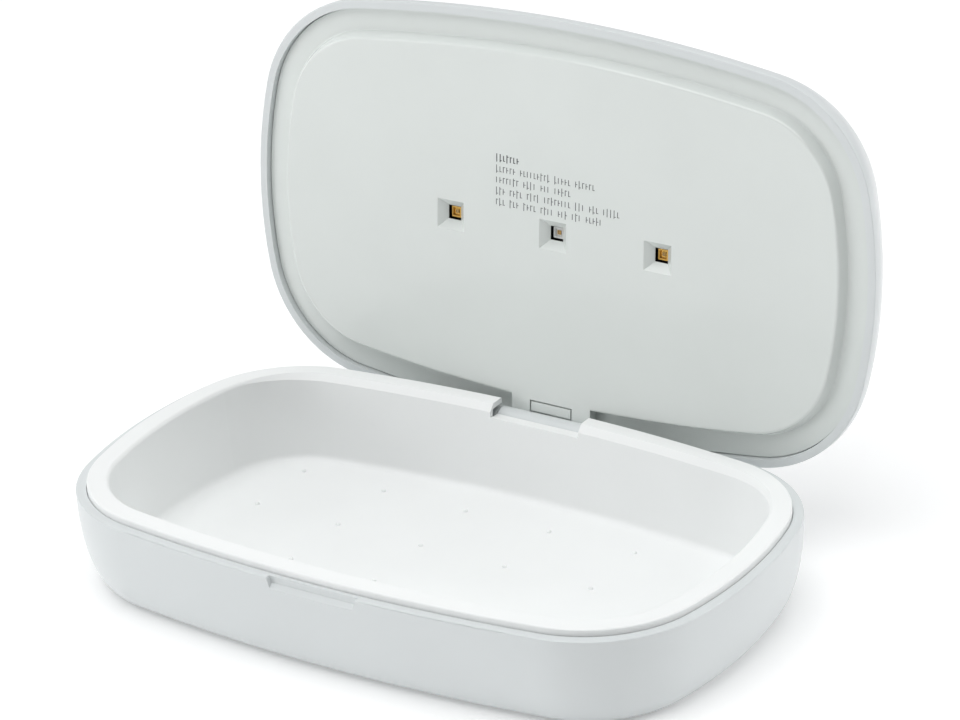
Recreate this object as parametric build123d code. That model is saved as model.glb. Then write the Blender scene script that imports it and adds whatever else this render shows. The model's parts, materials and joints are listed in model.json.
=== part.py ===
from build123d import *
import math
import os

# A hinged ultraviolet sanitizer box for toothbrushes and other small items.
# +X runs along the long side, +Y points to the hinge, +Z is up.
# The origin is the centre of the base shell's flat underside; the rubber feet reach just below it.
# Lid pieces are built in the closed position and swung open about the hinge at the end.

# ---------------------------------------------------------------- driving dimensions, mm

# Plan outline of base and lid: eight tangent arcs.
HALF_LENGTH = 110.0
HALF_WIDTH = 67.1
LONG_SIDE_RADIUS = 525.0
SHORT_SIDE_RADIUS = 147.0
CORNER_RADIUS = 40.7
CORE_INSET = 22.0

# Base shell.
LIP_HEIGHT = 30.2
LIP_WIDTH = 3.2
BASE_FLOOR_THICKNESS = 1.7
BASE_FOOT_INSET = 9.6
ROUND_STIFFNESS = 0.56
CAVITY_GAP = 0.2

# Tub.
TUB_OUTER_INSET = 3.4
TUB_RIM_RISE = 2.1
TUB_OPENING_INSET = 10.2
TUB_FLOOR_INSET = 12.6
TUB_FLOOR_TOP = 3.8
TUB_WALL = 1.3
TUB_EDGE_RADIUS = 1.3
TUB_FLOOR_RADIUS = 2.0
REAR_EASE_SHIFT = 2.0

# Nubs on the tub floor.
NUB_PITCH_X = 30.3
NUB_PITCH_Y = 25.8
NUB_RADIUS = 0.8

# Finger notch in the front of the base lip.
NOTCH_BOTTOM_HALF = 14.3
NOTCH_TOP_HALF = 15.8
NOTCH_DEPTH = 1.8
NOTCH_SILL = 26.7
NOTCH_SLOPE_RISE = 1.4

# Lid.
PARTING_GAP = 0.2
LID_HEIGHT = 19.0
LID_WALL = 2.65
LID_TOP_THICKNESS = 2.2
LID_TOP_INSET = 10.0
LID_ROUND_START = 1.9
FLANGE_GAP = 0.15
FLANGE_INSET = 2.8
PLATEAU_FOOT_INSET = 10.1
PLATEAU_TOP_INSET = 11.5
PLATEAU_HEIGHT = 3.75
LINER_THICKNESS = 1.8

# Hinge.
HINGE_Y = 62.9
HINGE_Z = 25.6
OPEN_ANGLE = 95.0
KNUCKLE_RADIUS = 3.8
KNUCKLE_HALF = 15.6
BARREL_RADIUS = 3.7
BARREL_INNER = 16.0
BARREL_OUTER = 41.7
PIN_RADIUS = 1.6
PIN_BORE = 1.0
PIN_CLEARANCE = 0.05
WINDOW_HALF = 42.1
WINDOW_SILL = 20.9
TONGUE_HALF = 14.15
TONGUE_SLOT_HALF = 15.9
TONGUE_SLOT_FLOOR = 28.2

# Lamp windows.
LED_PITCH = 37.0
LED_Y = 1.0
WINDOW_OUTER = 9.6
WINDOW_THROAT = 4.5
WINDOW_DEPTH = 2.6
WINDOW_WALL = 2.8
WINDOW_BOSS_HALF = 5.6
LAMP_GAP = 0.8
LED_SIDE = 3.5
LED_HEIGHT = 1.2
LED_CAVITY = 2.4
LED_CAVITY_DEPTH = 0.7

# Start button in the lid top.
BUTTON_RADIUS = 7.0
BUTTON_TRAVEL = 0.5
BUTTON_FLANGE_RADIUS = 8.2
RING_HOLE_RADIUS = 9.3

# ---------------------------------------------------------------- derived levels

RIM_TOP = LIP_HEIGHT + TUB_RIM_RISE
FLANGE_LEVEL = RIM_TOP + FLANGE_GAP
PLATEAU_LEVEL = FLANGE_LEVEL - PLATEAU_HEIGHT
LID_RIM = LIP_HEIGHT + PARTING_GAP
LID_TOP = LID_RIM + LID_HEIGHT
LID_CEILING = LID_TOP - LID_TOP_THICKNESS
hinge_axis = Axis((0, HINGE_Y, HINGE_Z), (1, 0, 0))


# ---------------------------------------------------------------- plan outline

long_centre_y = HALF_WIDTH - LONG_SIDE_RADIUS
short_centre_x = HALF_LENGTH - SHORT_SIDE_RADIUS


def corner_centre():
    """Centre of the corner arc that is tangent to both side arcs."""
    to_long = LONG_SIDE_RADIUS - CORNER_RADIUS
    to_short = SHORT_SIDE_RADIUS - CORNER_RADIUS
    spread = math.hypot(short_centre_x, long_centre_y)
    along = (to_long**2 - to_short**2 + spread**2) / (2 * spread)
    across = math.sqrt(to_long**2 - along**2)
    ux = short_centre_x / spread
    uy = -long_centre_y / spread
    return (along * ux + across * uy, long_centre_y + along * uy - across * ux)


corner_x, corner_y = corner_centre()
short_end_angle = math.degrees(math.atan2(corner_y, corner_x - short_centre_x))
long_start_angle = math.degrees(math.atan2(corner_y - long_centre_y, corner_x))


def outline(inset=0.0, height=0.0):
    """Closed plan outline, moved inward by inset."""
    e = short_end_angle
    s = long_start_angle
    short_radius = SHORT_SIDE_RADIUS - inset
    long_radius = LONG_SIDE_RADIUS - inset
    corner_radius = CORNER_RADIUS - inset
    arcs = [
        (short_centre_x, 0, short_radius, -e, e),
        (corner_x, corner_y, corner_radius, e, s),
        (0, long_centre_y, long_radius, s, 180 - s),
        (-corner_x, corner_y, corner_radius, 180 - s, 180 - e),
        (-short_centre_x, 0, short_radius, 180 - e, 180 + e),
        (-corner_x, -corner_y, corner_radius, 180 + e, 180 + s),
        (0, -long_centre_y, long_radius, 180 + s, 360 - s),
        (corner_x, -corner_y, corner_radius, 360 - s, 360 - e),
    ]
    edges = []
    for x, y, radius, start, end in arcs:
        edges.append(Edge.make_circle(radius, Plane((x, y, height)), start, end))
    return Wire(edges)


# The section plane stands where the outline starts, with local x pointing outward.
start_angle = math.radians(-short_end_angle)
section_plane = Plane(
    origin=(short_centre_x, 0, 0),
    x_dir=(math.cos(start_angle), math.sin(start_angle), 0),
    z_dir=(math.sin(start_angle), -math.cos(start_angle), 0),
)


def at(inset, height):
    """Section point a given inset from the outline."""
    return (SHORT_SIDE_RADIUS - inset, height)


def swept(section):
    """Solid made by carrying a section once round the outline."""
    return sweep(section_plane * section, path=outline())


def ring(corners, radii):
    """Swept solid from (inset, height) corners, each with its own rounding."""
    points = [at(inset, height) for inset, height in corners]
    return swept(make_face(FilletPolyline(*points, radius=radii, close=True)))


def slab(inset, low, high):
    """Flat plate with the plan outline moved inward by inset."""
    return extrude(make_face(outline(inset, low)), amount=high - low)


def bowl_curve(rim_inset, rim_height, foot_inset, foot_height, rim_pull, foot_pull):
    """Rounded side profile from the rim down, or up, to the flat."""
    rise = foot_height - rim_height
    run = foot_inset - rim_inset
    return Bezier(
        at(rim_inset, rim_height),
        at(rim_inset, rim_height + rim_pull * rise),
        at(foot_inset - foot_pull * run, foot_height),
        at(foot_inset, foot_height),
    )


def block(x_range, y_range, z_range):
    """Box between two corners."""
    size = [high - low for low, high in (x_range, y_range, z_range)]
    low = (x_range[0], y_range[0], z_range[0])
    return Pos(*low) * Box(*size, align=(Align.MIN, Align.MIN, Align.MIN))


def rod_x(radius, x_low, x_high, y=HINGE_Y, z=HINGE_Z):
    """Cylinder along X, on the hinge line unless told otherwise."""
    centre = ((x_low + x_high) / 2, y, z)
    return Pos(*centre) * Rot(0, 90, 0) * Cylinder(radius, x_high - x_low)


def post(radius, x, y, low, high):
    """Upright cylinder."""
    return Pos(x, y, (low + high) / 2) * Cylinder(radius, high - low)


def wire_run(points, bends, radius):
    """Round lead along straight runs joined by arcs."""
    path = FilletPolyline(*points, radius=bends)
    start = Plane(origin=path @ 0, z_dir=path % 0)
    return sweep(start * Circle(radius), path=path)


def mirrored_places(x, y):
    """Four places, one in each quarter."""
    return [(sx * x, sy * y) for sx in (-1, 1) for sy in (-1, 1)]


parts = {}
lid_parts = {}

# ---------------------------------------------------------------- base shell

round_top = LIP_HEIGHT - 1.2
inner_floor = BASE_FLOOR_THICKNESS
lip_edge = 0.4

outer_curve = bowl_curve(0, round_top, BASE_FOOT_INSET, 0, ROUND_STIFFNESS, ROUND_STIFFNESS)
inner_curve = bowl_curve(
    LIP_WIDTH, round_top, BASE_FOOT_INSET, inner_floor, ROUND_STIFFNESS, ROUND_STIFFNESS
)
shell_section = Wire(
    [
        outer_curve.edge(),
        Edge.make_line(at(BASE_FOOT_INSET, 0), at(CORE_INSET, 0)),
        Edge.make_line(at(CORE_INSET, 0), at(CORE_INSET, inner_floor)),
        Edge.make_line(at(CORE_INSET, inner_floor), at(BASE_FOOT_INSET, inner_floor)),
        inner_curve.edge(),
        Edge.make_line(at(LIP_WIDTH, round_top), at(LIP_WIDTH, LIP_HEIGHT)),
        Edge.make_line(at(LIP_WIDTH, LIP_HEIGHT), at(lip_edge, LIP_HEIGHT)),
        Edge.make_three_point_arc(
            at(lip_edge, LIP_HEIGHT),
            at(lip_edge * (1 - math.sqrt(0.5)), LIP_HEIGHT - lip_edge * (1 - math.sqrt(0.5))),
            at(0, LIP_HEIGHT - lip_edge),
        ),
        Edge.make_line(at(0, LIP_HEIGHT - lip_edge), at(0, round_top)),
    ]
)
base_shell = swept(make_face(shell_section)) + slab(CORE_INSET, 0, inner_floor)

# Finger notch: a scoop with a sloping sill and slanted ends.
notch_outer = HALF_WIDTH + 3
notch_inner = HALF_WIDTH - NOTCH_DEPTH
slope = NOTCH_SLOPE_RISE / NOTCH_DEPTH
notch_side = Polyline(
    (-notch_outer, NOTCH_SILL - slope * (notch_outer - HALF_WIDTH)),
    (-notch_inner, NOTCH_SILL + NOTCH_SLOPE_RISE),
    (-notch_inner, LIP_HEIGHT + 1),
    (-notch_outer, LIP_HEIGHT + 1),
    close=True,
)
notch_front = Polyline(
    (-NOTCH_BOTTOM_HALF, NOTCH_SILL - 3),
    (NOTCH_BOTTOM_HALF, NOTCH_SILL - 3),
    (NOTCH_BOTTOM_HALF, NOTCH_SILL),
    (NOTCH_TOP_HALF, LIP_HEIGHT + 1),
    (-NOTCH_TOP_HALF, LIP_HEIGHT + 1),
    (-NOTCH_BOTTOM_HALF, NOTCH_SILL),
    close=True,
)
notch_prism = extrude(Plane.YZ * make_face(notch_side), amount=NOTCH_TOP_HALF, both=True)
notch_trim = Pos(0, -HALF_WIDTH, 0) * extrude(Plane.XZ * make_face(notch_front), amount=5, both=True)
base_shell -= notch_prism & notch_trim

# Rear opening for the lid's hinge barrels, and the moulded knuckle between them.
base_shell -= block((-WINDOW_HALF, WINDOW_HALF), (60, 72), (WINDOW_SILL, LIP_HEIGHT + 2))
web = block((-KNUCKLE_HALF, KNUCKLE_HALF), (HINGE_Y - 1.5, HINGE_Y + 2.6), (16, HINGE_Z))
base_shell += web + rod_x(KNUCKLE_RADIUS, -KNUCKLE_HALF, KNUCKLE_HALF)
base_shell -= rod_x(PIN_RADIUS + PIN_CLEARANCE / 2, -20, 20)

# The rear lip is rounded about the hinge line, so the lid's rim rolls over it.
roll_radius = LIP_HEIGHT - HINGE_Z - 0.1
roll_length = 76.0
roll_relief = block((-roll_length, roll_length), (HINGE_Y, HINGE_Y + 9), (HINGE_Z, LIP_HEIGHT + 2))
roll_relief -= rod_x(roll_radius, -roll_length - 1, roll_length + 1)
roll_relief -= block((-WINDOW_HALF, WINDOW_HALF), (HINGE_Y - 1, HINGE_Y + 10), (HINGE_Z - 1, LIP_HEIGHT + 3))
base_shell -= roll_relief

# Power inlet slot in the rear wall.
inlet_z = 11.0
inlet_width = 9.4
inlet_height = 3.7
slot_shape = Plane.XZ * SlotOverall(inlet_width, inlet_height)
base_shell -= Pos(0, HALF_WIDTH + 2, inlet_z) * extrude(slot_shape, amount=8)



def filled_bowl(curve, foot_inset, floor, rim_inset):
    """Band of solid between a side curve and the core, up to the straight lip."""
    corners = [(foot_inset, floor), (CORE_INSET, floor), (CORE_INSET, round_top), (rim_inset, round_top)]
    points = [at(*corner) for corner in corners]
    straights = [Edge.make_line(start, end) for start, end in zip(points, points[1:])]
    return swept(make_face(Wire([curve.edge(), *straights])))


# Screw posts, counterbores and foot recesses in the underside.
screw_x = 90.5
screw_y = 45.3
post_top = 9.0
shell_body = filled_bowl(outer_curve, BASE_FOOT_INSET, 0, 0)
cavity_foot = BASE_FOOT_INSET + CAVITY_GAP
cavity_floor = inner_floor + CAVITY_GAP
cavity_curve = bowl_curve(
    LIP_WIDTH + CAVITY_GAP, round_top, cavity_foot, cavity_floor, ROUND_STIFFNESS, ROUND_STIFFNESS
)
cavity_body = filled_bowl(cavity_curve, cavity_foot, cavity_floor, LIP_WIDTH + CAVITY_GAP)
screw_shank = 1.1
screw_head = 2.1
head_seat = 6.0
foot_x = 72.0
foot_y = 36.0
foot_radius = 6.0
foot_recess = 0.7
foot_standoff = 0.6
for x, y in mirrored_places(screw_x, screw_y):
    base_shell += post(2.8, x, y, 0, post_top) & shell_body
for x, y in mirrored_places(screw_x, screw_y):
    base_shell -= post(screw_shank + 0.15, x, y, -1, post_top + 1)
    base_shell -= post(screw_head + 0.2, x, y, -1, head_seat)
for x, y in mirrored_places(foot_x, foot_y):
    base_shell -= post(foot_radius + 0.1, x, y, -1, foot_recess)
parts["base_shell"] = base_shell

# ---------------------------------------------------------------- tub

flange_under = RIM_TOP - 1.8
skirt_foot = LIP_HEIGHT - 2.0
outer_wall_inset = TUB_OPENING_INSET - TUB_WALL
base_tub = ring(
    [
        (TUB_OUTER_INSET, skirt_foot),
        (TUB_OUTER_INSET, RIM_TOP),
        (TUB_OPENING_INSET, RIM_TOP),
        (TUB_FLOOR_INSET, TUB_FLOOR_TOP),
        (CORE_INSET, TUB_FLOOR_TOP),
        (CORE_INSET, TUB_FLOOR_TOP - 1.4),
        (TUB_FLOOR_INSET - TUB_WALL, TUB_FLOOR_TOP - 1.4),
        (outer_wall_inset, flange_under),
        (TUB_OUTER_INSET + 1.4, flange_under),
        (TUB_OUTER_INSET + 1.4, skirt_foot),
    ],
    [0, 0.5, TUB_EDGE_RADIUS, TUB_FLOOR_RADIUS, 0, 0, TUB_FLOOR_RADIUS + 1, 0.3, 0.3, 0],
)
base_tub += slab(CORE_INSET, TUB_FLOOR_TOP - 1.4, TUB_FLOOR_TOP)
for column in range(6):
    for row in range(4):
        place = ((column - 2.5) * NUB_PITCH_X, (row - 1.5) * NUB_PITCH_Y, TUB_FLOOR_TOP)
        base_tub += Pos(*place) * Sphere(NUB_RADIUS)

# The rear inner edge is eased so that the lid's raised panel swings past it.
ease_corners = [(14.0, 30.1), (12.4, 30.1), (10.3, 32.4), (14.0, 32.4)]
ease = swept(make_face(Polyline(*[at(*corner) for corner in ease_corners], close=True)))
base_tub -= Pos(0, REAR_EASE_SHIFT, 0) * ease

boss_bottom = post_top + 0.1
for x, y in mirrored_places(screw_x, screw_y):
    base_tub += post(2.6, x, y, boss_bottom, flange_under + 0.5) & cavity_body
    base_tub -= post(screw_shank, x, y, boss_bottom - 1, boss_bottom + 9)

# Slot for the lid's tongue, a shelf up to the knuckle, and room for the lid's barrels.
shelf_half = TONGUE_SLOT_HALF - 0.4
base_tub -= block((-WINDOW_HALF, WINDOW_HALF), (HINGE_Y - 3.9, 72), (20, flange_under))
base_tub -= block((-TONGUE_SLOT_HALF, TONGUE_SLOT_HALF), (55, 72), (TONGUE_SLOT_FLOOR, RIM_TOP + 1))
shelf_front = HALF_WIDTH - TUB_OPENING_INSET + 0.3
shelf_levels = (TONGUE_SLOT_FLOOR - 1.2, TONGUE_SLOT_FLOOR)
base_tub += block((-shelf_half, shelf_half), (shelf_front, HINGE_Y), shelf_levels)
base_tub -= rod_x(KNUCKLE_RADIUS + 0.15, -30, 30)
parts["base_tub"] = base_tub

# ---------------------------------------------------------------- base hardware

rubber_feet = []
for x, y in mirrored_places(foot_x, foot_y):
    foot = post(foot_radius, x, y, -foot_standoff, foot_recess)
    rubber_feet.append(fillet(foot.edges().group_by(Axis.Z)[0], 0.4))
parts["rubber_feet"] = Compound(children=rubber_feet)


def screw(x, y, head_low, head_high, tip, shank, head):
    """Pan-head screw standing on Z, with a cross recess in the far face of its head."""
    body = post(head, x, y, min(head_low, head_high), max(head_low, head_high))
    body += post(shank, x, y, min(head_high, tip), max(head_high, tip))
    arm = head * 0.6
    low = min(head_low, head_low + (head_high - head_low) * 0.5)
    high = max(head_low, head_low + (head_high - head_low) * 0.5)
    body -= block((x - arm, x + arm), (y - 0.25, y + 0.25), (low, high))
    body -= block((x - 0.25, x + 0.25), (y - arm, y + arm), (low, high))
    return body


base_screws = []
for x, y in mirrored_places(screw_x, screw_y):
    base_screws.append(screw(x, y, head_seat - 1.5, head_seat, 15.0, screw_shank, screw_head))
parts["base_screws"] = Compound(children=base_screws)

# Plugs that close the counterbores flush with the rounded underside.
plug_top = head_seat - 1.8
screw_plugs = []
for x, y in mirrored_places(screw_x, screw_y):
    plug = post(screw_head + 0.15, x, y, -1, plug_top) & shell_body
    screw_plugs.append(plug.solids()[0])
parts["screw_plugs"] = Compound(children=screw_plugs)

pin_left = -36.5
hinge_pin = rod_x(PIN_RADIUS, pin_left, BARREL_OUTER - 0.7) - rod_x(PIN_BORE, pin_left - 1, BARREL_OUTER)
lead_entry_x = 6.0
hinge_pin -= post(0.9, lead_entry_x, HINGE_Y, HINGE_Z - 3, HINGE_Z)
parts["hinge_pin"] = hinge_pin

board_top = inlet_z - 1.63
socket_back = 57.2
socket_front = 64.4
parts["inlet_board"] = block((-9, 9), (socket_back, 61.3), (board_top - 1.0, board_top))
socket_outer = Plane.XZ * SlotOverall(8.94, 3.26)
socket_inner = Plane.XZ * SlotOverall(8.34, 2.66)
socket = Pos(0, socket_front, inlet_z) * extrude(socket_outer, amount=socket_front - socket_back)
socket -= Pos(0, socket_front, inlet_z) * extrude(socket_inner, amount=socket_front - socket_back - 0.8)
parts["usb_socket"] = socket
tongue_back = socket_back + 0.8
parts["usb_tongue"] = block((-3.3, 3.3), (tongue_back, socket_front - 0.7), (inlet_z - 0.35, inlet_z + 0.35))

lead_radius = 0.6
parts["base_lead"] = wire_run(
    [
        (lead_entry_x, 60.4, board_top),
        (lead_entry_x, 60.4, 14.0),
        (lead_entry_x, HINGE_Y - 2.4, 18.0),
    ],
    1.5,
    lead_radius,
)

magnet_y = (-HALF_WIDTH + TUB_OUTER_INSET + 1.8, -HALF_WIDTH + outer_wall_inset - 0.4)
parts["latch_magnet"] = block((-5, 5), magnet_y, (flange_under - 2.6, flange_under))

# ---------------------------------------------------------------- lid shell

lid_round = LID_RIM + LID_ROUND_START
lid_edge = 0.4
lid_pull = 0.25
lid_top_pull = 0.30
lid_curve = bowl_curve(0, lid_round, LID_TOP_INSET, LID_TOP, lid_pull, lid_top_pull)
lid_inner_inset = LID_TOP_INSET + 1.0
lid_inner_curve = bowl_curve(LID_WALL, lid_round + 1, lid_inner_inset, LID_CEILING, lid_pull, lid_top_pull)
lid_section = Wire(
    [
        lid_curve.edge(),
        Edge.make_line(at(LID_TOP_INSET, LID_TOP), at(CORE_INSET, LID_TOP)),
        Edge.make_line(at(CORE_INSET, LID_TOP), at(CORE_INSET, LID_CEILING)),
        Edge.make_line(at(CORE_INSET, LID_CEILING), at(lid_inner_inset, LID_CEILING)),
        lid_inner_curve.edge(),
        Edge.make_line(at(LID_WALL, lid_round + 1), at(LID_WALL, LID_RIM)),
        Edge.make_line(at(LID_WALL, LID_RIM), at(lid_edge, LID_RIM)),
        Edge.make_three_point_arc(
            at(lid_edge, LID_RIM),
            at(lid_edge * (1 - math.sqrt(0.5)), LID_RIM + lid_edge * (1 - math.sqrt(0.5))),
            at(0, LID_RIM + lid_edge),
        ),
        Edge.make_line(at(0, LID_RIM + lid_edge), at(0, lid_round)),
    ]
)
lid_shell = swept(make_face(lid_section)) + slab(CORE_INSET, LID_CEILING, LID_TOP)

# Two hinge barrels, each on a leg that drops from the rear rim.
leg_inner_y = HINGE_Y + 1.2
leg_outer_y = HINGE_Y + BARREL_RADIUS
for side in (-1, 1):
    ends = sorted((side * BARREL_INNER, side * BARREL_OUTER))
    lid_shell += block(ends, (leg_inner_y, leg_outer_y), (HINGE_Z, LID_RIM + 0.8))
    lid_shell += rod_x(BARREL_RADIUS, *ends)
    lid_shell -= rod_x(PIN_RADIUS + PIN_CLEARANCE, ends[0] - 1, ends[1] + 1)

# Channel that carries the lamp lead from the left barrel up into the lid.
channel_x = (-39.7, -37.5)
channel_back = HINGE_Y + 1.4
channel_top = 36.0
lid_shell -= block(channel_x, (HINGE_Y, channel_back), (HINGE_Z, channel_top))
lid_shell -= block(channel_x, (HINGE_Y - 5, channel_back), (lid_round + 1, channel_top))

# Button opening and circuit board posts.
board_x = 32.0
board_y = 18.0
board_face = 39.8
lid_shell -= post(RING_HOLE_RADIUS, 0, 0, LID_CEILING - 1, LID_TOP + 1)
for x, y in mirrored_places(board_x, board_y):
    lid_shell += post(3.0, x, y, board_face, LID_CEILING + 0.5)
    lid_shell -= post(0.9, x, y, board_face - 1, board_face + 5)
lid_parts["lid_shell"] = lid_shell

# ---------------------------------------------------------------- lid liner

liner_top = FLANGE_LEVEL + LINER_THICKNESS
liner_back = PLATEAU_LEVEL + LINER_THICKNESS
lid_liner = ring(
    [
        (FLANGE_INSET, FLANGE_LEVEL),
        (PLATEAU_FOOT_INSET, FLANGE_LEVEL),
        (PLATEAU_TOP_INSET, PLATEAU_LEVEL),
        (CORE_INSET, PLATEAU_LEVEL),
        (CORE_INSET, liner_back),
        (PLATEAU_TOP_INSET + 1.7, liner_back),
        (PLATEAU_FOOT_INSET + 1.8, liner_top),
        (FLANGE_INSET + 1.3, liner_top),
        (FLANGE_INSET + 1.3, liner_top + 4.0),
        (FLANGE_INSET, liner_top + 4.0),
    ],
    [0.3, 0.6, 0.9, 0, 0, 0.3, 0.3, 0.3, 0, 0],
)
lid_liner += slab(CORE_INSET, PLATEAU_LEVEL, liner_back)

# Tongue over the central knuckle, with a scoop and a pocket for the hinge cover.
tongue_front = HALF_WIDTH - PLATEAU_TOP_INSET - 2
tongue_rear = HALF_WIDTH - FLANGE_INSET - 0.4
tongue_levels = (PLATEAU_LEVEL, FLANGE_LEVEL + 0.5)
lid_liner += block((-TONGUE_HALF, TONGUE_HALF), (tongue_front, tongue_rear), tongue_levels)
lid_liner -= rod_x(KNUCKLE_RADIUS + 0.3, -TONGUE_HALF - 1, TONGUE_HALF + 1)
cover_half = 7.1
cover_gap = 0.5
cover_front = 56.7
pocket_depth = 1.9
pocket_rear = HINGE_Y - 1.0
lid_liner -= block(
    (-cover_half - cover_gap, cover_half + cover_gap),
    (cover_front - cover_gap, pocket_rear),
    (PLATEAU_LEVEL - 1, PLATEAU_LEVEL + pocket_depth),
)
cover = block((-cover_half, cover_half), (cover_front, 59.8), (PLATEAU_LEVEL, PLATEAU_LEVEL + pocket_depth))
lid_parts["hinge_cover"] = fillet(cover.edges().group_by(Axis.Z)[0], 0.15)

# Lamp windows: square funnels in locally thickened bosses.
led_places = [(index * LED_PITCH, LED_Y) for index in (-1, 0, 1)]
for x, y in led_places:
    lid_liner += block(
        (x - WINDOW_BOSS_HALF, x + WINDOW_BOSS_HALF),
        (y - WINDOW_BOSS_HALF, y + WINDOW_BOSS_HALF),
        (PLATEAU_LEVEL + 1, PLATEAU_LEVEL + WINDOW_WALL),
    )
for x, y in led_places:
    mouth = Pos(x, y, PLATEAU_LEVEL) * Rectangle(WINDOW_OUTER, WINDOW_OUTER)
    throat = Pos(x, y, PLATEAU_LEVEL + WINDOW_DEPTH) * Rectangle(WINDOW_THROAT, WINDOW_THROAT)
    lid_liner -= loft([mouth.face(), throat.face()], ruled=True)
    lid_liner -= Pos(x, y, PLATEAU_LEVEL + WINDOW_DEPTH) * Box(WINDOW_THROAT, WINDOW_THROAT, 4)

# Bosses that carry the lamp board.
led_face = PLATEAU_LEVEL + WINDOW_WALL + LAMP_GAP
led_board_low = led_face + LED_HEIGHT
led_board_high = led_board_low + 1.2
led_screw_x = 18.5
for side in (-1, 1):
    lid_liner += post(2.6, side * led_screw_x, LED_Y, PLATEAU_LEVEL + 1, led_board_low)
    lid_liner -= post(0.9, side * led_screw_x, LED_Y, PLATEAU_LEVEL + 1.2, led_board_low + 1)
lid_liner -= block(channel_x, (60, 72), (liner_top, liner_top + 5))
lid_parts["lid_liner"] = lid_liner

# ---------------------------------------------------------------- lamp assembly

led_board = block((-48, 48), (LED_Y - 9, LED_Y + 9), (led_board_low, led_board_high))
led_board = fillet(led_board.edges().filter_by(Axis.Z), 1.5)
for side in (-1, 1):
    led_board -= post(1.1, side * led_screw_x, LED_Y, led_board_low - 1, led_board_high + 1)
lid_parts["led_board"] = led_board

led_board_screws = []
for side in (-1, 1):
    led_board_screws.append(
        screw(side * led_screw_x, LED_Y, led_board_high + 1.2, led_board_high, led_board_low - 2.2, 0.9, 1.7)
    )
lid_parts["led_board_screws"] = Compound(children=led_board_screws)

led_names = ["uv_led_left", "uv_led_centre", "uv_led_right"]
uv_chips = []
for name, (x, y) in zip(led_names, led_places):
    package = Pos(x, y, (led_face + led_board_low) / 2) * Box(LED_SIDE, LED_SIDE, LED_HEIGHT)
    package -= Pos(x, y, led_face) * Box(LED_CAVITY, LED_CAVITY, 2 * LED_CAVITY_DEPTH)
    lid_parts[name] = package
    chip_low = led_face + LED_CAVITY_DEPTH - 0.3
    uv_chips.append(block((x - 0.6, x + 0.6), (y - 0.6, y + 0.6), (chip_low, led_face + LED_CAVITY_DEPTH)))
lid_parts["uv_chips"] = Compound(children=uv_chips)

# ---------------------------------------------------------------- control board

board_thickness = 1.6
board_back = board_face - board_thickness
main_board = block((-37, 37), (-23, 23), (board_back, board_face))
main_board = fillet(main_board.edges().filter_by(Axis.Z), 2.0)
for x, y in mirrored_places(board_x, board_y):
    main_board -= post(1.1, x, y, board_back - 1, board_face + 1)
lid_parts["main_board"] = main_board

main_board_screws = []
for x, y in mirrored_places(board_x, board_y):
    main_board_screws.append(screw(x, y, board_back - 1.2, board_back, board_face + 4, 0.9, 1.7))
lid_parts["main_board_screws"] = Compound(children=main_board_screws)

lid_parts["control_chip"] = block((-21, -14), (-3.5, 3.5), (board_face, board_face + 0.9))
inductor = block((15, 23), (-4, 4), (board_face, board_face + 4))
lid_parts["boost_inductor"] = fillet(inductor.edges().filter_by(Axis.Z), 1.5)
capacitors = [post(2.5, x, 12, board_face, board_face + 5.4) for x in (-20, -13)]
lid_parts["capacitors"] = Compound(children=capacitors)

# ---------------------------------------------------------------- start button

switch_top = board_face + 3.5
button_flange_low = 45.0
button_flange_high = 46.2
button_switch = Pos(0, 0, board_face) * Box(6, 6, 2.8, align=(Align.CENTER, Align.CENTER, Align.MIN))
button_switch += post(1.6, 0, 0, board_face + 2.8, switch_top)
lid_parts["button_switch"] = button_switch

cap = post(BUTTON_RADIUS, 0, 0, button_flange_low, LID_TOP + 0.2)
cap = fillet(cap.edges().group_by(Axis.Z)[-1], 0.6)
cap += post(BUTTON_FLANGE_RADIUS, 0, 0, button_flange_low, button_flange_high)
cap += post(2.0, 0, 0, switch_top + BUTTON_TRAVEL + 0.1, button_flange_low)
start_button = cap

ring_profile = Polyline(
    (BUTTON_RADIUS + 0.3, LID_TOP + 0.05),
    (RING_HOLE_RADIUS - 0.1, LID_TOP + 0.05),
    (RING_HOLE_RADIUS - 0.1, LID_CEILING),
    (RING_HOLE_RADIUS + 1.4, LID_CEILING),
    (RING_HOLE_RADIUS + 1.4, LID_CEILING - 1.4),
    (BUTTON_FLANGE_RADIUS + 0.3, LID_CEILING - 1.4),
    (BUTTON_FLANGE_RADIUS + 0.3, button_flange_high + 0.3),
    (BUTTON_RADIUS + 0.3, button_flange_high + 0.3),
    close=True,
)
lid_parts["light_ring"] = revolve(Plane.XZ * make_face(ring_profile), axis=Axis.Z)

status_leds = []
for x, y in mirrored_places(7.2, 7.2):
    status_leds.append(block((x - 0.8, x + 0.8), (y - 0.4, y + 0.4), (board_face, board_face + 0.6)))
lid_parts["status_leds"] = Compound(children=status_leds)

# ---------------------------------------------------------------- lid latch and leads

plate_y = (-HALF_WIDTH + FLANGE_INSET + 1.7, -HALF_WIDTH + FLANGE_INSET + 4.7)
lid_parts["latch_plate"] = block((-5, 5), plate_y, (liner_top, liner_top + 1.5))
lid_parts["lid_sensor"] = block((9, 13), plate_y, (liner_top, liner_top + 1.6))

lead_x = (channel_x[0] + channel_x[1]) / 2
lead_y = HINGE_Y + 0.7
lead_level = liner_top + 0.9
lid_parts["lid_lead"] = wire_run(
    [
        (lead_x, lead_y, HINGE_Z + 0.8),
        (lead_x, lead_y, lead_level),
        (lead_x, 57.0, lead_level),
        (-32.0, 44.0, 41.0),
        (-24.0, 24.0, 41.0),
        (-24.0, 20.0, board_face + lead_radius + 0.05),
    ],
    [1.0, 3.0, 6.0, 1.5],
    lead_radius,
)
led_leads = [post(lead_radius, x, LED_Y, led_board_high, board_back) for x in (26.0, 28.0)]
lid_parts["led_leads"] = Compound(children=led_leads)

# ---------------------------------------------------------------- open pose and export

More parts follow.
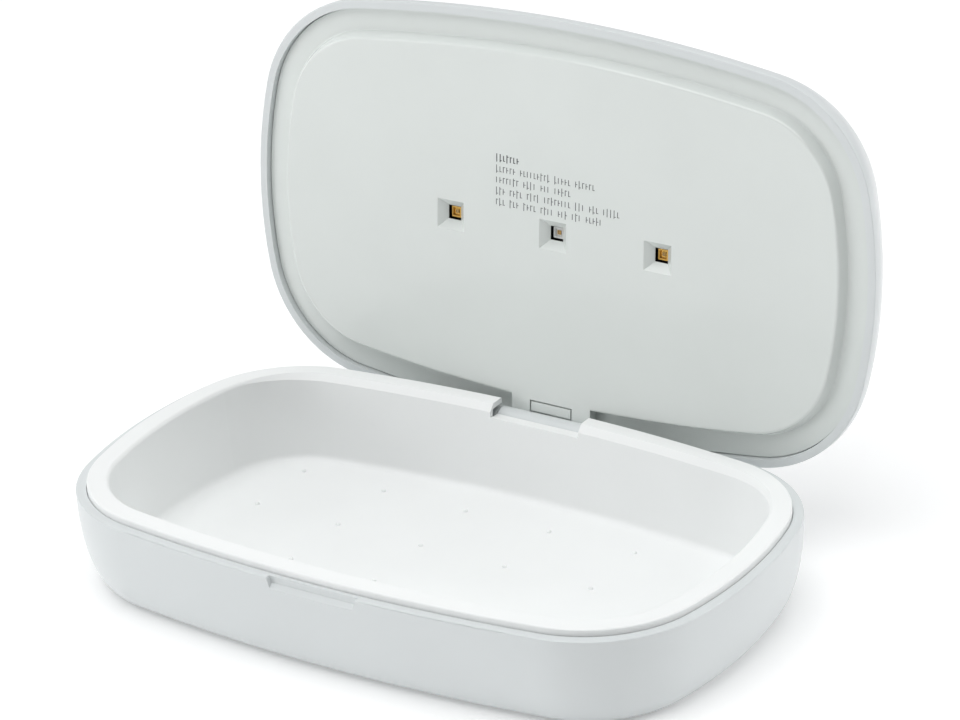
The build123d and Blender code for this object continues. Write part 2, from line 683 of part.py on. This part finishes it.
for name, solid in lid_parts.items():
    parts[name] = solid.rotate(hinge_axis, -OPEN_ANGLE)
parts["start_button"] = start_button.rotate(hinge_axis, -OPEN_ANGLE)

os.makedirs("parts", exist_ok=True)
for name, solid in parts.items():
    export_step(solid, os.path.join("parts", name + ".step"))
    print(name, round(solid.volume, 1), len(solid.solids()), solid.is_valid)
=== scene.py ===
import json
import math
import random

import bmesh
import bpy
from mathutils import Matrix, Vector


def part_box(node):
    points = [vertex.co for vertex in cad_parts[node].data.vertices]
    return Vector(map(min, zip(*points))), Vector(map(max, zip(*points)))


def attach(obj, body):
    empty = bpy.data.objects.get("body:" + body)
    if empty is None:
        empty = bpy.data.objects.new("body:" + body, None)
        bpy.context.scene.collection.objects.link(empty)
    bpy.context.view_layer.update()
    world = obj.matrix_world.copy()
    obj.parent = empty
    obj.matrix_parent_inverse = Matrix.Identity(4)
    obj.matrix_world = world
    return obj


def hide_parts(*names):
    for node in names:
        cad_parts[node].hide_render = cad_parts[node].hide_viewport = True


# Looks for the open sanitizer box: satin white shells, a polished lid liner with three lamp
# windows, soft studio light and the camera. Everything is in metres, in the frame of the CAD.

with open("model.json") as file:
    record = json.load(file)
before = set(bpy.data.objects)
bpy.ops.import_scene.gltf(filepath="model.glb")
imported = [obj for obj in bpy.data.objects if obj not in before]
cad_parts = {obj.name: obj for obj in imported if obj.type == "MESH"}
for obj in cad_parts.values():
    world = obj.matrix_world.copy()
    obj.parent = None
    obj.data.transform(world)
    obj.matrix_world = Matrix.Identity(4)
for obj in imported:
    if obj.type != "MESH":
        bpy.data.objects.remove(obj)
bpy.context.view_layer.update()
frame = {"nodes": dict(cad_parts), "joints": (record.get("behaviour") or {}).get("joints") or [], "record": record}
nodes = frame["nodes"]
scene = bpy.context.scene
MM = 0.001

# ---------------------------------------------------------------- the frame's own places

hinge = next(j for j in frame["joints"] if j["name"] == "lid_hinge")
HINGE = Vector(hinge["pos_m"])
OPEN_ANGLE = math.radians(hinge["range_deg"][1])
# Takes a point of the closed lid to where it stands at rest, with the lid open.
OPENED = Matrix.Translation(HINGE) @ Matrix.Rotation(-OPEN_ANGLE, 4, "X") @ Matrix.Translation(-HINGE)

# Levels and places of the closed lid, as the CAD has them.
LINER_FACE = 28.7 * MM
LAMP_PITCH = 37.0 * MM
LAMP_Y = 1.0 * MM
LAMP_FACE = 32.3 * MM
FEET_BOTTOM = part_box("rubber_feet")[0].z


# ---------------------------------------------------------------- material helpers


def new_material(name):
    """Fresh material, with its node tree and its shader."""
    material = bpy.data.materials.new(name)
    material.use_nodes = True
    shader = material.node_tree.nodes["Principled BSDF"]
    return material, material.node_tree, shader


def link(tree, source, target):
    """Joins an output socket to an input socket."""
    tree.links.new(source, target)


def noise(tree, size, detail=2.0, roughness=0.5):
    """Noise in the object's own coordinates, with grains of about the given size in metres."""
    place = tree.nodes.new("ShaderNodeTexCoord")
    texture = tree.nodes.new("ShaderNodeTexNoise")
    texture.inputs["Scale"].default_value = 1.0 / size
    texture.inputs["Detail"].default_value = detail
    texture.inputs["Roughness"].default_value = roughness
    link(tree, place.outputs["Object"], texture.inputs["Vector"])
    return texture.outputs["Fac"]


def remap(tree, value, low, high, from_low=0.3, from_high=0.7):
    """Value carried from one range to another; the default range is what noise mostly fills."""
    node = tree.nodes.new("ShaderNodeMapRange")
    node.inputs["From Min"].default_value = from_low
    node.inputs["From Max"].default_value = from_high
    node.inputs["To Min"].default_value = low
    node.inputs["To Max"].default_value = high
    link(tree, value, node.inputs["Value"])
    return node.outputs["Result"]


def blend_colour(tree, factor, first, second):
    """Mix of two colours, each given as numbers or as another node's output."""
    node = tree.nodes.new("ShaderNodeMix")
    node.data_type = "RGBA"
    link(tree, factor, node.inputs["Factor"])
    for socket, colour in ((node.inputs["A"], first), (node.inputs["B"], second)):
        if isinstance(colour, (tuple, list)):
            socket.default_value = (*colour, 1.0)
        else:
            link(tree, colour, socket)
    return node.outputs["Result"]


def bump(tree, shader, height, distance, strength=1.0):
    """Surface relief of the given height in metres."""
    node = tree.nodes.new("ShaderNodeBump")
    node.inputs["Strength"].default_value = strength
    node.inputs["Distance"].default_value = distance
    link(tree, height, node.inputs["Height"])
    link(tree, node.outputs["Normal"], shader.inputs["Normal"])


def scaled(colour, factor):
    """Colour made lighter or darker."""
    return tuple(min(1.0, c * factor) for c in colour)


# Sizes of the surface texture's grains, in metres.
TONE_DRIFT = 45.0 * MM
PLASTIC_POLISH = 20.0 * MM
METAL_TONE = 3.0 * MM
METAL_POLISH = 1.0 * MM
RUBBER_TONE = 2.0 * MM
RUBBER_POLISH = 1.5 * MM
RUBBER_GRAIN = 0.3 * MM
# Pointiness is 0.5 on a flat, and more on an outside edge.
EDGE_START = 0.52
EDGE_FULL = 0.62
PLASTIC_IOR = 1.49
COAT_ROUGHNESS = 0.06


def plastic(
    name,
    colour,
    roughness,
    grain=0.4 * MM,
    depth=0.004 * MM,
    coat=0.0,
    variation=0.015,
    wear=0.03,
):
    """Moulded plastic: fine spark texture, slow tone drift, edges polished by handling."""
    material, tree, shader = new_material(name)
    drift = remap(tree, noise(tree, TONE_DRIFT, 3.0), 0.0, 1.0)
    base = blend_colour(tree, drift, scaled(colour, 1 - variation), scaled(colour, 1 + variation))
    geometry = tree.nodes.new("ShaderNodeNewGeometry")
    edge = remap(tree, geometry.outputs["Pointiness"], 0.0, 1.0, EDGE_START, EDGE_FULL)
    worn = blend_colour(tree, edge, base, scaled(colour, 1 + wear))
    link(tree, worn, shader.inputs["Base Color"])
    fine = noise(tree, grain, 2.0, 0.6)
    polish = remap(tree, noise(tree, PLASTIC_POLISH, 4.0), roughness * 0.92, roughness * 1.08)
    link(tree, polish, shader.inputs["Roughness"])
    shader.inputs["IOR"].default_value = PLASTIC_IOR
    shader.inputs["Coat Weight"].default_value = coat
    shader.inputs["Coat Roughness"].default_value = COAT_ROUGHNESS
    bump(tree, shader, fine, depth)
    return material


def metal(name, colour, roughness, brushed=0.2 * MM, depth=0.003 * MM):
    """Metal with fine turning marks and slightly uneven polish."""
    material, tree, shader = new_material(name)
    tone = remap(tree, noise(tree, METAL_TONE, 3.0), 0.0, 1.0)
    base = blend_colour(tree, tone, scaled(colour, 0.9), scaled(colour, 1.05))
    link(tree, base, shader.inputs["Base Color"])
    polish = remap(tree, noise(tree, METAL_POLISH), roughness * 0.8, roughness * 1.25)
    link(tree, polish, shader.inputs["Roughness"])
    shader.inputs["Metallic"].default_value = 1.0
    bump(tree, shader, noise(tree, brushed), depth)
    return material


def rubber(name, colour):
    """Soft rubber: dull, with a slightly mottled tone."""
    material, tree, shader = new_material(name)
    tone = remap(tree, noise(tree, RUBBER_TONE, 3.0), 0.0, 1.0)
    base = blend_colour(tree, tone, scaled(colour, 0.92), scaled(colour, 1.06))
    link(tree, base, shader.inputs["Base Color"])
    link(tree, remap(tree, noise(tree, RUBBER_POLISH), 0.7, 0.85), shader.inputs["Roughness"])
    bump(tree, shader, noise(tree, RUBBER_GRAIN), 0.01 * MM)
    return material


# Track pattern of a circuit board: its units to the metre, and the width of its lines in them.
TRACK_SCALE = 260.0
TRACK_LINE = 0.12
TRACK_DEPTH = 0.02 * MM


def circuit_board(name):
    """Solder mask with copper tracks showing through as a lighter green."""
    material, tree, shader = new_material(name)
    place = tree.nodes.new("ShaderNodeTexCoord")
    tracks = tree.nodes.new("ShaderNodeTexBrick")
    tracks.inputs["Scale"].default_value = TRACK_SCALE
    tracks.inputs["Mortar Size"].default_value = TRACK_LINE
    tracks.inputs["Color1"].default_value = (0.012, 0.09, 0.045, 1)
    tracks.inputs["Color2"].default_value = (0.016, 0.11, 0.055, 1)
    tracks.inputs["Mortar"].default_value = (0.03, 0.19, 0.08, 1)
    link(tree, place.outputs["Object"], tracks.inputs["Vector"])
    link(tree, tracks.outputs["Color"], shader.inputs["Base Color"])
    link(tree, remap(tree, noise(tree, METAL_POLISH), 0.28, 0.4), shader.inputs["Roughness"])
    shader.inputs["Coat Weight"].default_value = 0.4
    bump(tree, shader, tracks.outputs["Fac"], TRACK_DEPTH, 0.5)
    return material


WHITE = (0.67, 0.70, 0.705)
TUB_WHITE = (0.875, 0.888, 0.885)
LINER_WHITE = (0.72, 0.755, 0.735)

finishes = {
    "outer_plastic": plastic("shell_white", WHITE, 0.30, coat=0.15),
    "tub_plastic": plastic("tub_white", TUB_WHITE, 0.42, grain=0.3 * MM, depth=0.006 * MM),
    "liner_plastic": plastic("liner_white", LINER_WHITE, 0.16, depth=0.001 * MM, coat=0.3),
    "foot_rubber": rubber("foot_rubber", (0.42, 0.43, 0.43)),
    "screw_steel": metal("screw_steel", (0.58, 0.58, 0.60), 0.34),
    "pin_steel": metal("pin_steel", (0.62, 0.62, 0.64), 0.25),
    "socket_steel": metal("socket_steel", (0.66, 0.66, 0.67), 0.28),
    "black_plastic": plastic("black_plastic", (0.02, 0.02, 0.022), 0.45, variation=0.1, wear=0.4),
    "circuit_board": circuit_board("solder_mask"),
    "dark_board": plastic("dark_board", (0.018, 0.018, 0.021), 0.35, variation=0.1, wear=0.1),
    "lead_sheath": plastic("lead_sheath", (0.55, 0.04, 0.03), 0.4),
    "magnet_plating": metal("magnet_plating", (0.70, 0.70, 0.71), 0.12),
    "gold_plating": metal("gold_plating", (0.56, 0.34, 0.09), 0.30),
    "white_ceramic": plastic("white_ceramic", (0.80, 0.81, 0.80), 0.35),
    "led_die": plastic("lamp_die", (0.20, 0.11, 0.03), 0.15, coat=0.6),
    "ferrite": plastic("ferrite", (0.05, 0.05, 0.055), 0.7, depth=0.01 * MM),
    "capacitor_can": metal("capacitor_can", (0.70, 0.71, 0.72), 0.3),
    "diffuser": plastic("diffuser", (0.85, 0.87, 0.89), 0.2, coat=0.3),
}
slot_of = {s["node"]: s["material_slot"] for s in frame["record"]["subparts"]}
for name, obj in nodes.items():
    obj.data.materials.clear()
    obj.data.materials.append(finishes[slot_of[name]])

# ---------------------------------------------------------------- mesh helpers


def add_prism(mesh, outline, low, high):
    """Closed prism on a flat outline of (x, y) points, added to a bmesh."""
    bottom = [mesh.verts.new((x, y, low)) for x, y in outline]
    top = [mesh.verts.new((x, y, high)) for x, y in outline]
    mesh.faces.new(list(reversed(bottom)))
    mesh.faces.new(top)
    count = len(outline)
    for i in range(count):
        j = (i + 1) % count
        mesh.faces.new((bottom[i], bottom[j], top[j], top[i]))


def add_frame(mesh, outer, inner, low, high):
    """Closed prism between an outer and an inner outline with the same number of points."""
    count = len(outer)
    rings = []
    for outline, height in ((outer, low), (outer, high), (inner, high), (inner, low)):
        rings.append([mesh.verts.new((x, y, height)) for x, y in outline])
    for k in range(4):
        first, second = rings[k], rings[(k + 1) % 4]
        for i in range(count):
            j = (i + 1) % count
            mesh.faces.new((first[i], first[j], second[j], second[i]))


def rounded_square(x, y, half_x, half_y, radius, steps=4):
    """Outline of a rectangle with round corners, anticlockwise."""
    points = []
    for quarter, (sx, sy) in enumerate(((1, -1), (1, 1), (-1, 1), (-1, -1))):
        cx = x + sx * (half_x - radius)
        cy = y + sy * (half_y - radius)
        for k in range(steps + 1):
            angle = math.radians(-90 + 90 * quarter + 90 * k / steps)
            points.append((cx + radius * math.cos(angle), cy + radius * math.sin(angle)))
    return points


def piece(name, mesh, material, body, matrix=None, bevel=0.0):
    """Object from a bmesh, placed, given its finish and set riding on a CAD body."""
    bmesh.ops.recalc_face_normals(mesh, faces=mesh.faces)
    data = bpy.data.meshes.new(name)
    mesh.to_mesh(data)
    mesh.free()
    if matrix is not None:
        data.transform(matrix)
    obj = bpy.data.objects.new(name, data)
    scene.collection.objects.link(obj)
    data.materials.append(material)
    if bevel:
        edge = obj.modifiers.new("edge", "BEVEL")
        edge.width = bevel
        edge.segments = 2
        edge.limit_method = "ANGLE"
    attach(obj, body)
    return obj


# ---------------------------------------------------------------- lamps

# The package, with a stepped cavity round the die.
LAMP_HALF = 1.75 * MM
CAVITY_HALF = 1.2 * MM
CAVITY_DEPTH = 0.7 * MM
LAMP_HEIGHT = 1.2 * MM
CAVITY_STEP = 0.15 * MM
CAVITY_LEDGE = 0.1 * MM
LAMP_CORNER = 0.15 * MM
LAMP_BEVEL = 0.03 * MM
# The die, let a little into the floor of the cavity.
DIE_HALF = 0.62 * MM
DIE_CORNER = 0.05 * MM
DIE_HEIGHT = 0.28 * MM
DIE_SINK = 0.01 * MM
DIE_BEVEL = 0.02 * MM
# The plating on the die's face: a frame, and fingers that run in from one side.
PLATING = 0.03 * MM
PLATING_PROUD = 0.02 * MM
PLATED_EDGE = 0.14 * MM
PLATED_CORNER = 0.04 * MM
FINGER_OFFSETS = (-0.24 * MM, 0.0, 0.24 * MM)
FINGER_SHIFT = 0.09 * MM
FINGER_HALF_LENGTH = 0.28 * MM
FINGER_HALF_WIDTH = 0.05 * MM
FINGER_CORNER = 0.02 * MM
# The bond wires, measured from the middle of the die.
WIRE_START = 0.5 * MM
WIRE_END = 1.08 * MM
WIRE_SIDE = 0.3 * MM
WIRE_RISE = 0.12 * MM
WIRE_RADIUS = 0.02 * MM


def lamp_body(x, y):
    """Package with a stepped cavity open towards the tub, built for the closed lid."""
    mesh = bmesh.new()
    lip_half = CAVITY_HALF + CAVITY_LEDGE
    outer = rounded_square(x, y, LAMP_HALF, LAMP_HALF, LAMP_CORNER)
    lip = rounded_square(x, y, lip_half, lip_half, CAVITY_LEDGE)
    inner = rounded_square(x, y, CAVITY_HALF, CAVITY_HALF, CAVITY_LEDGE)
    floor_level = LAMP_FACE + CAVITY_DEPTH
    add_frame(mesh, outer, lip, LAMP_FACE, LAMP_FACE + CAVITY_STEP)
    add_frame(mesh, outer, inner, LAMP_FACE + CAVITY_STEP, floor_level)
    add_prism(mesh, outer, floor_level, LAMP_FACE + LAMP_HEIGHT)
    return mesh


def lamp_electrodes(x, y):
    """Frame and fingers of plating on the die's face."""
    mesh = bmesh.new()
    low = LAMP_FACE + CAVITY_DEPTH - DIE_HEIGHT - PLATING_PROUD
    high = low + PLATING
    inner_half = DIE_HALF - PLATED_EDGE
    frame_outer = rounded_square(x, y, DIE_HALF, DIE_HALF, DIE_CORNER)
    frame_inner = rounded_square(x, y, inner_half, inner_half, PLATED_CORNER)
    add_frame(mesh, frame_outer, frame_inner, low, high)
    for offset in FINGER_OFFSETS:
        finger = rounded_square(
            x + FINGER_SHIFT, y + offset, FINGER_HALF_LENGTH, FINGER_HALF_WIDTH, FINGER_CORNER
        )
        add_prism(mesh, finger, low, high)
    return mesh


def add_bond_wire(mesh, start, end, rise, radius, steps=10, sides=6):
    """Thin arched wire between two points at the same level; rise is towards the tub."""
    start, end = Vector(start), Vector(end)
    along = (end - start).normalized()
    side = Vector((0, 0, 1)).cross(along)
    rings = []
    for k in range(steps + 1):
        share = k / steps
        centre = start.lerp(end, share)
        centre.z -= rise * math.sin(math.pi * share)
        ring = []
        for i in range(sides):
            angle = 2 * math.pi * i / sides
            outward = side * math.cos(angle) + Vector((0, 0, math.sin(angle)))
            ring.append(mesh.verts.new(centre + outward * radius))
        rings.append(ring)
    for first, second in zip(rings, rings[1:]):
        for i in range(sides):
            j = (i + 1) % sides
            mesh.faces.new((first[i], first[j], second[j], second[i]))
    mesh.faces.new(rings[0])
    mesh.faces.new(list(reversed(rings[-1])))


# Each lamp: its side, its place along the row, and the slot of its package.
lamp_kinds = (
    ("left", -1, "gold_plating"),
    ("centre", 0, "white_ceramic"),
    ("right", 1, "gold_plating"),
)
die_mesh = bmesh.new()
wire_mesh = bmesh.new()
for side_name, index, slot_name in lamp_kinds:
    lamp_x = index * LAMP_PITCH
    body_mesh = lamp_body(lamp_x, LAMP_Y)
    body_piece = piece(
        "lamp_" + side_name, body_mesh, finishes[slot_name], "lid", OPENED, LAMP_BEVEL
    )
    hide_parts("uv_led_" + side_name)
    piece(
        "lamp_electrodes_" + side_name,
        lamp_electrodes(lamp_x, LAMP_Y),
        finishes["gold_plating"],
        "lid",
        OPENED,
    )
    die_low = LAMP_FACE + CAVITY_DEPTH - DIE_HEIGHT
    add_prism(
        die_mesh,
        rounded_square(lamp_x, LAMP_Y, DIE_HALF, DIE_HALF, DIE_CORNER),
        die_low,
        LAMP_FACE + CAVITY_DEPTH + DIE_SINK,
    )
    for sign in (-1, 1):
        add_bond_wire(
            wire_mesh,
            (lamp_x + sign * WIRE_START, LAMP_Y + WIRE_SIDE, die_low),
            (lamp_x + sign * WIRE_END, LAMP_Y + WIRE_SIDE, die_low),
            WIRE_RISE,
            WIRE_RADIUS,
        )
dies = piece("lamp_dies", die_mesh, finishes["led_die"], "lid", OPENED, DIE_BEVEL)
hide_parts("uv_chips")
piece("lamp_wires", wire_mesh, finishes["gold_plating"], "lid", OPENED)

# ---------------------------------------------------------------- contacts on the inlet's tongue

CONTACT_COUNT = 12
CONTACT_PITCH = 0.5 * MM
CONTACT_HALF_WIDTH = 0.13 * MM
CONTACT_HALF_LENGTH = 1.1 * MM
CONTACT_CORNER = 0.05 * MM
CONTACT_SETBACK = 1.7 * MM
CONTACT_SKIN = 0.02 * MM
tongue_low, tongue_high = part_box("usb_tongue")
contact_y = tongue_high.y - CONTACT_SETBACK
contact_mesh = bmesh.new()
for face_level in (tongue_low.z, tongue_high.z):
    for index in range(CONTACT_COUNT):
        contact_x = (index - (CONTACT_COUNT - 1) / 2) * CONTACT_PITCH
        add_prism(
            contact_mesh,
            rounded_square(
                contact_x, contact_y, CONTACT_HALF_WIDTH, CONTACT_HALF_LENGTH, CONTACT_CORNER, 2
            ),
            face_level - CONTACT_SKIN,
            face_level + CONTACT_SKIN,
        )
piece("inlet_contacts", contact_mesh, finishes["gold_plating"], "base")

# ---------------------------------------------------------------- plain dashes for a notice

PRINT_LEFT = -20.4 * MM
PRINT_THICKNESS = 0.02 * MM
GLYPH_PITCH = 1.22 * MM
GLYPH_HEIGHT = 1.85 * MM
WORD_GAP = 1.3 * MM
# Half the height of an upright, as a share of the mark's height; now and then one is taller.
UPRIGHT_SHARES = (0.5, 0.5, 0.5, 0.72)
UPRIGHT_ROUNDING = 0.6
# Most uprights carry a bar, at one of three levels. Its place and half length are shares of the pitch,
# its half height and its corner are shares of half a stroke.
BAR_CHANCE = 0.7
BAR_LEVELS = (-0.42, 0.0, 0.42)
BAR_PLACE = 0.36
BAR_HALF_LENGTH = 0.26
BAR_HALF_HEIGHT = 0.8
BAR_ROUNDING = 0.5
# Each line: its height up the lid, its stroke width, and the number of marks in each word.
print_lines = (
    (-20.7 * MM, 0.34 * MM, (7,)),
    (-17.1 * MM, 0.24 * MM, (6, 9, 5, 6)),
    (-13.6 * MM, 0.24 * MM, (7, 4, 3, 5)),
    (-10.0 * MM, 0.24 * MM, (3, 4, 4, 8, 3, 3, 5)),
    (-6.5 * MM, 0.24 * MM, (3, 3, 4, 4, 3, 3, 5)),
)
draw = random.Random(11)
print_mesh = bmesh.new()
for line_y, stroke, words in print_lines:
    x = PRINT_LEFT
    for letters in words:
        for _ in range(letters):
            half = stroke / 2
            tall = GLYPH_HEIGHT * draw.choice(UPRIGHT_SHARES)
            add_prism(
                print_mesh,
                rounded_square(x + half, line_y, half, tall, half * UPRIGHT_ROUNDING, 2),
                LINER_FACE - PRINT_THICKNESS,
                LINER_FACE + PRINT_THICKNESS,
            )
            if draw.random() < BAR_CHANCE:
                bar_y = line_y + draw.choice(BAR_LEVELS) * GLYPH_HEIGHT
                bar_x = x + GLYPH_PITCH * BAR_PLACE
                bar_length = GLYPH_PITCH * BAR_HALF_LENGTH
                add_prism(
                    print_mesh,
                    rounded_square(
                        bar_x, bar_y, bar_length, half * BAR_HALF_HEIGHT, half * BAR_ROUNDING, 2
                    ),
                    LINER_FACE - PRINT_THICKNESS,
                    LINER_FACE + PRINT_THICKNESS,
                )
            x += GLYPH_PITCH
        x += WORD_GAP
piece("print_dashes", print_mesh, plastic("print_ink", (0.06, 0.065, 0.07), 0.5), "lid", matrix=OPENED)

# ---------------------------------------------------------------- floor, light, world

FLOOR_SIZE = 6.0
FLOOR_TONE = 0.6
FLOOR_GLOW = 0.16
FLOOR_SHEEN = 0.1
floor_mesh = bmesh.new()
bmesh.ops.create_grid(floor_mesh, x_segments=1, y_segments=1, size=FLOOR_SIZE)
floor_data = bpy.data.meshes.new("floor")
floor_mesh.to_mesh(floor_data)
floor_mesh.free()
floor = bpy.data.objects.new("floor", floor_data)
floor.location.z = FEET_BOTTOM
scene.collection.objects.link(floor)
floor_material, floor_tree, floor_shader = new_material("floor_pale")
tone = remap(floor_tree, noise(floor_tree, FLOOR_TONE), 0.0, 1.0)
pale = blend_colour(floor_tree, tone, (0.94, 0.94, 0.94), (0.96, 0.96, 0.96))
link(floor_tree, pale, floor_shader.inputs["Base Color"])
floor_shader.inputs["Emission Color"].default_value = (1, 1, 1, 1)
floor_shader.inputs["Emission Strength"].default_value = FLOOR_GLOW
floor_shader.inputs["Roughness"].default_value = 0.9
floor_shader.inputs["Specular IOR Level"].default_value = FLOOR_SHEEN
floor.data.materials.append(floor_material)

world = bpy.data.worlds.new("studio")
scene.world = world
world.use_nodes = True
background = world.node_tree.nodes["Background"]
background.inputs["Color"].default_value = (0.975, 0.99, 1.0, 1)

# The studio is pale all round, and dim only in the direction of the photographer.
SKY_BRIGHT = 0.50
SKY_DIM = 0.02
# Where the change starts and ends, as the cosine of the angle from the dim direction.
DIM_START = 0.25
DIM_FULL = 0.85
DIM_AZIMUTH = math.radians(45.0)
dim_direction = (math.sin(DIM_AZIMUTH), -math.cos(DIM_AZIMUTH), 0.1)
direction = world.node_tree.nodes.new("ShaderNodeTexCoord")
facing = world.node_tree.nodes.new("ShaderNodeVectorMath")
facing.operation = "DOT_PRODUCT"
facing.inputs[1].default_value = dim_direction
link(world.node_tree, direction.outputs["Generated"], facing.inputs[0])
sky = world.node_tree.nodes.new("ShaderNodeMapRange")
sky.interpolation_type = "SMOOTHSTEP"
sky.inputs["From Min"].default_value = DIM_START
sky.inputs["From Max"].default_value = DIM_FULL
sky.inputs["To Min"].default_value = SKY_BRIGHT
sky.inputs["To Max"].default_value = SKY_DIM
link(world.node_tree, facing.outputs["Value"], sky.inputs["Value"])
link(world.node_tree, sky.outputs["Result"], background.inputs["Strength"])


def softbox(name, place, target, width, height, power):
    """Soft rectangular light at a place, turned to a target; sizes in metres, power in watts."""
    light = bpy.data.lights.new(name, "AREA")
    light.shape = "RECTANGLE"
    light.size = width
    light.size_y = height
    light.energy = power
    obj = bpy.data.objects.new(name, light)
    obj.location = place
    obj.rotation_mode = "QUATERNION"
    obj.rotation_quaternion = (Vector(target) - Vector(place)).to_track_quat("-Z", "Y")
    scene.collection.objects.link(obj)


AIM = (0, 0.02, 0.05)
# Each light: its name, its place, its width and height, and its power.
softboxes = (
    ("overhead", (0.0, -0.35, 1.38), 1.4, 1.4, 13.5),
    ("front_left", (-1.2, -1.05, 0.32), 0.9, 0.6, 5.5),
    ("right_side", (1.2, 0.65, 0.7), 0.9, 0.9, 6.5),
    ("left_back", (-1.2, 0.9, 0.8), 0.9, 0.9, 1.5),
)
for name, place, width, height, power in softboxes:
    softbox(name, place, AIM, width, height, power)

# ---------------------------------------------------------------- camera

AZIMUTH = math.radians(32.919)
ELEVATION = math.radians(24.992)
ROLL = math.radians(-2.519)
DISTANCE = 1.289933
LOOK_AT = Vector((0.025609, 0, 0.081135))
LENS = 166.07
SHIFT = (-0.0221, -0.0022)

back = Vector(
    (
        math.sin(AZIMUTH) * math.cos(ELEVATION),
        -math.cos(AZIMUTH) * math.cos(ELEVATION),
        math.sin(ELEVATION),
    )
)
right = Vector((math.cos(AZIMUTH), math.sin(AZIMUTH), 0))
up = back.cross(right)
tilted_right = right * math.cos(ROLL) + up * math.sin(ROLL)
tilted_up = up * math.cos(ROLL) - right * math.sin(ROLL)
camera_data = bpy.data.cameras.new("camera")
camera_data.sensor_width = 36.0
camera_data.lens = LENS
camera_data.shift_x, camera_data.shift_y = SHIFT
camera_data.clip_start = 0.05
camera_data.clip_end = 30.0
camera = bpy.data.objects.new("camera", camera_data)
turn = Matrix((tilted_right, tilted_up, back)).transposed().to_4x4()
camera.matrix_world = Matrix.Translation(LOOK_AT + back * DISTANCE) @ turn
scene.collection.objects.link(camera)
scene.camera = camera

scene.view_settings.view_transform = "Standard"
